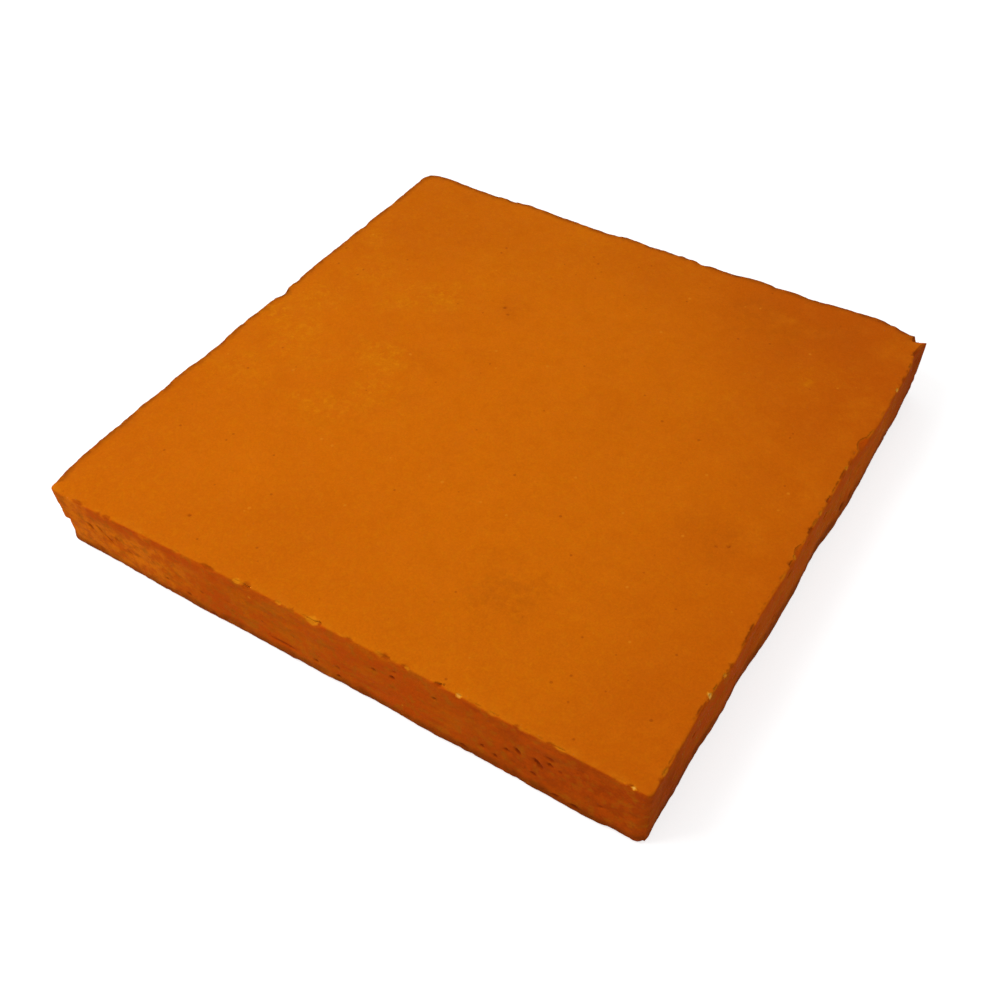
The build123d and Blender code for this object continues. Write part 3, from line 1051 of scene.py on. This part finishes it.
def clay_material():
    """Matt, unglazed clay, with its blotches, grit, dust, smudges and broken edges, painted shade along its
    foot and in its hollows, and a painted highlight along the face's arris.
    """
    material = bpy.data.materials.new("fired_clay")
    paint = Paint(material)
    shader = paint.nodes["Principled BSDF"]
    place = paint.add("ShaderNodeTexCoord").outputs["Object"]
    side = paint.mark("side")

    face = paint.patches(DEEP_ORANGE, place, FACE_PATCHES)
    colour = paint.over(face, side_colour(paint, place), side)
    bed = paint.patches(BED_BROWN, place, BED_PATCHES)
    colour = paint.over(colour, bed, paint.mark("bed"))
    colour = speckled(paint, colour, SPECK_PALE, place, *PALE_GRIT)
    colour = speckled(paint, colour, SPECK_DARK, place, *DARK_GRIT)
    # Painted shade along the foot, worn crumbs, and the darker band along the back and left arrises
    colour = paint.patches(colour, place, FOOT_SHADE_AND_EDGE_PATCHES)
    colour = paint.over(colour, CHIP_BROWN, paint.times(paint.mark("old"), OLD_CHIP_SHARE))
    pale = paint.mark("pale")
    colour = paint.over(colour, CHIP_YELLOW, paint.between(pale, *YELLOW_CHIPS))
    colour = paint.over(colour, CHIP_PALE, paint.between(pale, *PALE_CHIPS))
    # Painted shade in the hollows, darkest where they are deepest
    colour = paint.over(colour, PIT_SHADE_BROWN, paint.times(paint.mark("hollow"), PIT_SHADE_SHARE))
    grain = paint.noise(place, 0.9 * MM, 3, 0.25, 0.75, 0.7)
    colour = paint.over(colour, paint.blended(grain, *GRAIN_SHADE), 1.0, "MULTIPLY")
    paint.links.new(colour, shader.inputs["Base Color"])

    clouds = paint.noise(place, 12 * MM, 5, 0.3, 0.7, 0.6)
    paint.links.new(paint.blended(clouds, *ROUGHNESS), shader.inputs["Roughness"])
    shader.inputs["Specular IOR Level"].default_value = SHINE

    sand = paint.noise(place, 1.5 * MM, 5, 0.2, 0.8, 0.7)
    lumps = paint.noise(place, 4.5 * MM, 4, 0.2, 0.8, 0.6)
    height = paint.blended(BUMP_LUMP_SHARE, sand, lumps)
    strength = paint.math("ADD", FACE_BUMP, paint.times(side, SIDE_EXTRA_BUMP))
    inputs = {"Strength": strength, "Distance": BUMP_HEIGHT, "Height": height}
    paint.links.new(paint.add("ShaderNodeBump", inputs).outputs["Normal"], shader.inputs["Normal"])
    return material


# The studio: the world's light, the floor's grey and how much it is lifted to white, and the one soft lamp
WORLD_LIGHT = 0.64
FLOOR_GREY = 0.55
FLOOR_LIFT = 0.67
FLOOR_REACH = 6.0
LAMP_PLACE = (-0.50, -0.50, 0.91)
LAMP_TARGET = (0, 0, 0.02)
LAMP_SIZE = 0.5
LAMP_POWER = 5.5
WHITE = (1, 1, 1, 1)


def make_camera():
    """The camera, where the photograph was taken from."""
    data = bpy.data.cameras.new("camera")
    data.lens = CAMERA_LENS_MM
    data.sensor_width = CAMERA_SENSOR_MM
    camera = bpy.data.objects.new("camera", data)
    bpy.context.scene.collection.objects.link(camera)
    level = cos(CAMERA_ELEVATION)
    back = Vector((sin(CAMERA_AZIMUTH) * level, -cos(CAMERA_AZIMUTH) * level, sin(CAMERA_ELEVATION)))
    flat_right = Vector((cos(CAMERA_AZIMUTH), sin(CAMERA_AZIMUTH), 0))
    flat_up = back.cross(flat_right)
    right = flat_right * cos(CAMERA_ROLL) + flat_up * sin(CAMERA_ROLL)
    up = flat_up * cos(CAMERA_ROLL) - flat_right * sin(CAMERA_ROLL)
    camera.matrix_world = Matrix.Translation(CAMERA_PLACE) @ Matrix((right, up, back)).transposed().to_4x4()
    bpy.context.scene.camera = camera


def make_lamp():
    """The key light, a soft square one above and in front of the tile, to the left."""
    data = bpy.data.lights.new("key", "AREA")
    data.shape = "SQUARE"
    data.size = LAMP_SIZE
    data.energy = LAMP_POWER
    lamp = bpy.data.objects.new("key", data)
    bpy.context.scene.collection.objects.link(lamp)
    lamp.location = LAMP_PLACE
    lamp.rotation_mode = "QUATERNION"
    lamp.rotation_quaternion = (Vector(LAMP_TARGET) - Vector(LAMP_PLACE)).to_track_quat("-Z", "Y")


def seen_share(paint):
    """1 for what the camera sees, straight on or by a mirror or glass, and 0 for light alone."""
    path = paint.add("ShaderNodeLightPath")
    share = paint.math("MAXIMUM", path.outputs["Is Camera Ray"], path.outputs["Is Glossy Ray"])
    return paint.math("MAXIMUM", share, path.outputs["Is Transmission Ray"])


def make_world():
    """Even light from all round, and white behind everything."""
    world = bpy.data.worlds.new("studio")
    bpy.context.scene.world = world
    paint = Paint(world)
    light = paint.nodes["Background"]
    light.inputs["Color"].default_value = WHITE
    light.inputs["Strength"].default_value = WORLD_LIGHT
    white = paint.add("ShaderNodeBackground", {"Color": WHITE, "Strength": 1.0})
    inputs = {0: seen_share(paint), 1: light.outputs["Background"], 2: white.outputs["Background"]}
    mix = paint.add("ShaderNodeMixShader", inputs)
    paint.links.new(mix.outputs["Shader"], paint.nodes["World Output"].inputs["Surface"])


def make_floor():
    """A pale level floor that keeps the tile's soft shadow."""
    mesh = bpy.data.meshes.new("floor")
    corners = [(x * FLOOR_REACH, y * FLOOR_REACH, 0) for x, y in square_loop(1)]
    mesh.from_pydata(corners, [], [(0, 1, 2, 3)])
    floor = bpy.data.objects.new("floor", mesh)
    bpy.context.scene.collection.objects.link(floor)
    material = bpy.data.materials.new("pale_floor")
    paint = Paint(material)
    paint.nodes.remove(paint.nodes["Principled BSDF"])
    grey = (FLOOR_GREY, FLOOR_GREY, FLOOR_GREY, 1)
    matt = paint.add("ShaderNodeBsdfDiffuse", {"Color": grey})
    seen_lift = paint.times(seen_share(paint), FLOOR_LIFT)
    lift = paint.add("ShaderNodeEmission", {"Strength": seen_lift})
    both = paint.add("ShaderNodeAddShader", {0: matt.outputs["BSDF"], 1: lift.outputs["Emission"]})
    paint.links.new(both.outputs["Shader"], paint.nodes["Material Output"].inputs["Surface"])
    mesh.materials.append(material)


make_camera()
tile = make_tile()
tile.data.materials.append(clay_material())
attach(tile, "root")
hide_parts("tile")
make_floor()
make_world()
make_lamp()
bpy.context.scene.view_settings.view_transform = "Standard"
